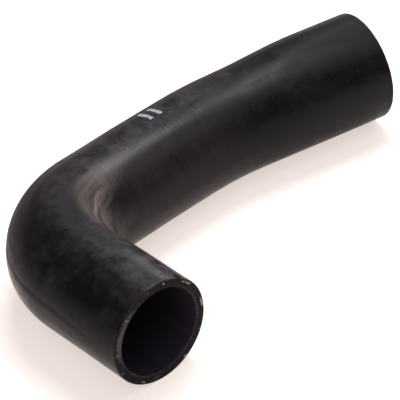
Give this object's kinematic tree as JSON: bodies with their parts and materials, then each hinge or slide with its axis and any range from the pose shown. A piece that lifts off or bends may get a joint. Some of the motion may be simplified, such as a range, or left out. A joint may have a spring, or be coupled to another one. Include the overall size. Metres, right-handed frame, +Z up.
{
  "type": "coolant hose",
  "caption": "Moulded rubber coolant hose with a right-angle elbow, a gentle second bend and a wider outlet end, pushed over pipe stubs and clamped.",
  "frame": {"origin": "on the surface that the hose lies on, below the middle of its overall box", "axes": "+X along the long leg towards the wider outlet end, the inlet mouth faces -Y, +Z is up from the surface, square to both bends"},
  "size_m": [0.2054, 0.106, 0.0481],
  "materials": {
    "hose_rubber": "satin black moulded rubber with fine rings around it, dusty in patches, with pale yarn tips in the cut ends"
  },
  "bodies": {
    "root": {"coolant_hose": "hose_rubber"}
  },
  "joints": []
}
